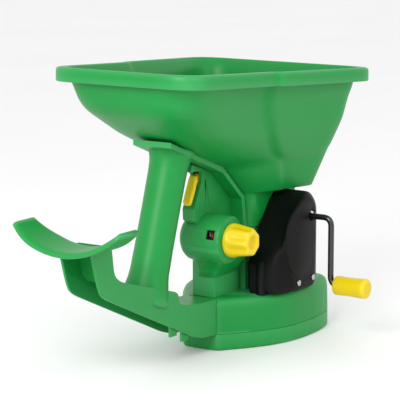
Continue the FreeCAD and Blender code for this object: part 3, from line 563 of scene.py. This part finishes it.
# the print: digit height, place along the drum, radius, then in degrees where 5 stands and one step
DIGIT_HEIGHT = 6.4
DIGIT_PLACE = -19.9
PRINT_RADIUS = 17.6
WINDOW_ANGLE = 158
DIGIT_STEP = 36
for number in range(1, 10):
    curve = bpy.data.curves.new("digit", "FONT")
    curve.body = str(number)
    curve.size = DIGIT_HEIGHT * MM
    curve.align_x = "CENTER"
    curve.align_y = "CENTER"
    curve.extrude = 0.1 * MM
    curve.offset = 0.15 * MM
    model = bpy.data.objects.new("digit", curve)
    bpy.context.collection.objects.link(model)
    bpy.context.view_layer.update()
    mesh = bpy.data.meshes.new_from_object(model)
    bpy.data.objects.remove(model)
    angle = math.radians(WINDOW_ANGLE + (number - 5) * DIGIT_STEP)
    outwards = Vector((math.cos(angle), 0, math.sin(angle)))
    right = Vector((0, -1, 0))
    up = outwards.cross(right)
    spot = Vector(barrel_centre) * MM + outwards * PRINT_RADIUS * MM + Vector((0, DIGIT_PLACE * MM, 0))
    mesh.transform(Matrix.Translation(spot) @ Matrix((right, up, outwards)).transposed().to_4x4())
    digit = bpy.data.objects.new("digit_%d" % number, mesh)
    bpy.context.collection.objects.link(digit)
    settle(digit, "dial", WHITE)

# ------------------------------------------------------------------ trigger
# A narrow yellow lever on a pin in the web.  The fingers pull its lower end to the handle, and
# its hidden arm pushes the shutter open.

TRIGGER_PATH = ((-117.2, 178.4), (-117.6, 177), (-118.8, 173.6), (-121.5, 167), (-125, 160),
                (-128.4, 153), (-129.4, 150.5))


def trigger_ring(x, z, depth, half):
    """A soft-cornered slice across the blade."""
    lean = Vector((0.9, 0, -0.43))
    ring = []
    for step in range(24):
        angle = step * math.pi / 12
        u = math.copysign(abs(math.cos(angle)) ** 0.5, math.cos(angle))
        v = math.copysign(abs(math.sin(angle)) ** 0.5, math.sin(angle))
        spot = Vector((x, v * half, z)) + lean * (u * depth / 2)
        ring.append(tuple(spot))
    return ring


trigger_sizes = ((3, 3), (5, 3.8), (5.6, 4.4), (6, 4.6), (6, 4.6), (5.6, 4.4), (3.4, 3.2))
trigger = skin("trigger_lever_blade", [trigger_ring(x, z, depth, half)
                                       for (x, z), (depth, half) in zip(TRIGGER_PATH, trigger_sizes)])
settle(trigger, "trigger_lever", YELLOW, "trigger")

pin_low, pin_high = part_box("trigger_pin")
pivot = ((pin_low[0] + pin_high[0]) / 2 / MM, 0, (pin_low[2] + pin_high[2]) / 2 / MM)
arm_outline = [(pivot[0] - 9.5, pivot[2] + 2), (pivot[0] - 9.5, pivot[2] - 4), (pivot[0] - 3, pivot[2] - 6),
               (pivot[0] + 2, pivot[2] - 34), (pivot[0] + 5, pivot[2] - 34), (pivot[0] + 3.4, pivot[2] + 2)]
arm = prism("trigger_arm", arm_outline, 2.6, (1, 1, 3, 1.2, 1.2, 2))
hub = lathe("trigger_hub", ((-2.8, 3.6), (-2.4, 4.3), (2.4, 4.3), (2.8, 3.6)), pivot, (0, 1, 0), 40)
for inner in (arm, hub):
    settle(soften(inner, 0.3), "trigger_lever", YELLOW)

# ------------------------------------------------------------------ gear case
# A deep black cover over the gears, with an oval plate on its flat outer face.  Screws hold it
# to the body, and a round pillar and a square foot stand beside it on the base.

BLACK = moulded("black_moulding", rgb(5, 6, 6), rgb(30, 31, 31), 0.5, 0.25, gloss=0.16)
CASE_BACK = ((-61, 53), (-61, 87), (-48, 107), (-32, 129), (-17, 147), (-4, 153), (11, 151),
             (26, 136), (26, 53))
CASE_FACE = ((-31, 53), (-50, 87), (-52, 107), (-42, 129), (-22, 144), (-8, 149), (3, 147),
             (11, 136), (11, 53))


def case_ring(out, share, inset=0.0):
    """The case at a distance out from the body, between its back outline and its face."""
    points = [Vector(back).lerp(Vector(face), share) for back, face in zip(CASE_BACK, CASE_FACE)]
    centre = Vector((-18, 95))
    ring = []
    outline = rounded(points, 9, 5, 2)
    count = len(outline)
    for index, spot in enumerate(outline):
        along = outline[(index + 1) % count] - outline[index - 1]
        inwards = Vector((-along.y, along.x)).normalized()
        if inwards.dot(centre - spot) < 0:
            inwards.negate()
        moved = spot + inwards * inset
        ring.append((moved.x, -out, max(moved.y, 53)))
    return ring


# distance out, share of the way from back to face, inset: in along the inside, then out again
CASE_SLICES = ((63.4, 0.94, 2.4), (57, 0.1, 2.4), (29.2, 0, 2.4), (29.2, 0, 0), (57, 0.05, 0),
               (60, 0.14, 0), (63.4, 0.62, 0), (65.6, 0.93, 0.2), (66.6, 1.0, 0.9), (67, 1.0, 2.2))
case = skin("gear_case_shell", [case_ring(*sizes) for sizes in CASE_SLICES])
BUSH_RADIUS = 5.1
CRANK_AXIS = 127
bush_tool = lathe("bush_tool", ((-70, BUSH_RADIUS), (-60, BUSH_RADIUS)), (0, 0, CRANK_AXIS),
                  (0, 1, 0), 32)
carve(case, bush_tool)
settle(case, "frame", BLACK, "gear_cover")

DISC_WIDE = 29.5
DISC_HIGH = 37
DISC_X = -20.5
DISC_Z = 104


def disc_ring(out, inset):
    """The oval plate that stands a millimetre proud of the case's face."""
    ring = []
    for step in range(96):
        angle = step * math.pi / 48
        across = (DISC_WIDE - inset) * math.cos(angle)
        up = (DISC_HIGH - inset) * math.sin(angle)
        ring.append((DISC_X + across, -out, DISC_Z + up))
    return ring


DISC_SLICES = ((65, 0), (67.3, 0), (67.8, 0.3), (68, 0.9))
disc = skin("case_face_disc", [disc_ring(out, inset) for out, inset in DISC_SLICES])
settle(disc, "frame", BLACK)

foot = block("case_foot", (-61, -44), (-43, -30), (53, 84))
settle(soften(foot, 2), "frame", BLACK)

COLUMN_PROFILE = ((0, 6.4), (0.6, 6), (30, 6), (33.4, 4.6), (34.6, 2))
column = lathe("case_column", COLUMN_PROFILE, (-57, -43, 53), (0, 0, 1), 40)
settle(column, "frame", BLACK)

# ------------------------------------------------------------------ crank
# One steel rod, bent twice and painted gloss black, with a yellow grip that turns on its end.

STEEL_BLACK = Finish("black_painted_steel", IOR=1.5, Coat_Weight=0.6, Coat_Roughness=0.08)
runs = STEEL_BLACK.noise(40, 4)
thin_paint = STEEL_BLACK.step(runs, 0.6, 0.8)
STEEL_BLACK.set(Base_Color=STEEL_BLACK.mix(thin_paint, rgb(14, 14, 15), rgb(40, 40, 42)),
                Roughness=0.18 + runs * 0.14)
STEEL_BLACK = STEEL_BLACK.material


def tube_path(points, bend, steps=8):
    """An open path with its corners bent to arcs."""
    spots = [Vector(point) for point in points]
    path = [spots[0]]
    for before, spot, after in zip(spots, spots[1:], spots[2:]):
        first = spot + (before - spot).normalized() * bend
        last = spot + (after - spot).normalized() * bend
        for step in range(steps + 1):
            t = step / steps
            path.append(first * (1 - t) ** 2 + spot * 2 * t * (1 - t) + last * t ** 2)
    return path + [spots[-1]]


def rod_piece(name, path, radius):
    """A round bar along a path."""
    curve = bpy.data.curves.new(name, "CURVE")
    curve.dimensions = "3D"
    spline = curve.splines.new("POLY")
    spline.points.add(len(path) - 1)
    for point, spot in zip(spline.points, path):
        point.co = (*(spot * MM), 1)
    curve.bevel_depth = radius * MM
    curve.bevel_resolution = 8
    curve.use_fill_caps = True
    piece = bpy.data.objects.new(name, curve)
    bpy.context.collection.objects.link(piece)
    return piece


CRANK_ARM = -91
GRIP_AXIS = 58
ROD_RADIUS = 3.1
CRANK_BEND = 9
crank_path = ((0, -29.2, CRANK_AXIS), (0, CRANK_ARM, CRANK_AXIS), (0, CRANK_ARM, GRIP_AXIS),
              (0, -132, GRIP_AXIS))
crank = rod_piece("crank_bar", tube_path(crank_path, CRANK_BEND), ROD_RADIUS)
settle(crank, "crank", STEEL_BLACK, "crank_rod")

GRIP_PROFILE = ((-97, 5), (-97, 7.8), (-97.6, 9), (-99, 9.8), (-103, 9.9), (-112, 9.6), (-122, 9.8),
                (-129, 10.2), (-132, 10.1), (-133.4, 9.2), (-134, 7.6), (-134, 4))
grip = lathe("crank_grip_sleeve", GRIP_PROFILE, (0, 0, GRIP_AXIS), (0, 1, 0), 64)
settle(grip, "crank_handgrip", YELLOW, "crank_grip")

# ------------------------------------------------------------------ the frame's own nodes
# Screws, shafts, gears, shutter and ribs keep the shape they have and get their real finish.

ACETAL = moulded("acetal", rgb(226, 222, 208), rgb(245, 243, 235), 0.4, 0.05)
ZINC = Finish("zinc_plate", Metallic=1.0)
cloud = ZINC.noise(120, 4)
ZINC.set(Base_Color=ZINC.mix(cloud, rgb(150, 152, 156), rgb(205, 206, 208)),
         Roughness=0.22 + cloud * 0.25)

NODE_FINISH = {
    GREEN: ("trigger_pin", "hopper_saddle", "rail_ribs", "rail_clips", "trigger_web", "body_column",
            "drop_chute", "shutter_guides"),
    BLACK: ("scale_window", "gear_plate", "impeller"),
    YELLOW: ("dial_shaft",),
    SCALE.material: ("scale_ring",),
    ACETAL: ("rate_cam", "shutter", "shutter_link", "crank_gear", "lay_pinion", "face_gear",
             "impeller_pinion", "crank_bush", "crank_end_bush", "layshaft_bush", "upper_bush",
             "lower_bush"),
    ZINC.material: ("tray_screws", "trigger_spring", "case_screws", "layshaft", "impeller_shaft"),
}
BROAD_EDGES = ("hopper_saddle", "trigger_web", "body_column")
for material, names in NODE_FINISH.items():
    for name in names:
        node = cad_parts[name]
        for index in range(len(node.material_slots)):
            node.material_slots[index].material = material
        weld = node.modifiers.new("joined_corners", "WELD")
        weld.merge_threshold = 0.00001
        soften(node, 0.7 if name in BROAD_EDGES else 0.15, 2)

# ------------------------------------------------------------------ floor, light and camera
# A wide pale floor under an even white sky, a soft lamp from behind the cradle and a weaker one
# from the crank's side.  A long lens looks down a little from behind and to the near side.

floor_mesh = bpy.data.meshes.new("floor")
floor_mesh.from_pydata([(-6, -6, 0), (6, -6, 0), (6, 6, 0), (-6, 6, 0)], [], [(0, 1, 2, 3)])
floor = bpy.data.objects.new("floor", floor_mesh)
bpy.context.collection.objects.link(floor)
FLOOR = Finish("pale_floor", Roughness=0.9)
FLOOR.set(Base_Color=FLOOR.mix(FLOOR.noise(3), (0.86, 0.86, 0.86, 1), (0.9, 0.9, 0.9, 1)))
floor_mesh.materials.append(FLOOR.material)

world = bpy.data.worlds.new("studio")
world.use_nodes = True
world.node_tree.nodes["Background"].inputs["Color"].default_value = (1, 1, 1, 1)
world.node_tree.nodes["Background"].inputs["Strength"].default_value = 1.02
bpy.context.scene.world = world


def lamp(name, place, target, width, power):
    """A square soft lamp aimed at the target."""
    light = bpy.data.lights.new(name, "AREA")
    light.size = width
    light.energy = power
    lamp_object = bpy.data.objects.new(name, light)
    lamp_object.location = place
    lamp_object.rotation_euler = (Vector(target) - Vector(place)).to_track_quat("-Z", "Y").to_euler()
    bpy.context.collection.objects.link(lamp_object)


TARGET = (-0.09, 0, 0.14)
lamp("key", (-1.5, -0.25, 0.95), TARGET, 0.7, 15)
lamp("side", (-0.2, -1.4, 0.9), TARGET, 0.9, 3)

bpy.context.scene.view_settings.view_transform = "Standard"

HEADING = 57
DIP = 9.9
DISTANCE = 2.0
LOOK_AT = (-0.050, 0.036, 0.141)
heading = math.radians(HEADING)
dip = math.radians(DIP)
forward = Vector((math.sin(heading) * math.cos(dip), math.cos(heading) * math.cos(dip), -math.sin(dip)))
lens = bpy.data.cameras.new("camera")
lens.sensor_width = 36
lens.lens = 174.6
camera = bpy.data.objects.new("camera", lens)
camera.location = Vector(LOOK_AT) - forward * DISTANCE
camera.rotation_euler = forward.to_track_quat("-Z", "Y").to_euler()
bpy.context.collection.objects.link(camera)
bpy.context.scene.camera = camera
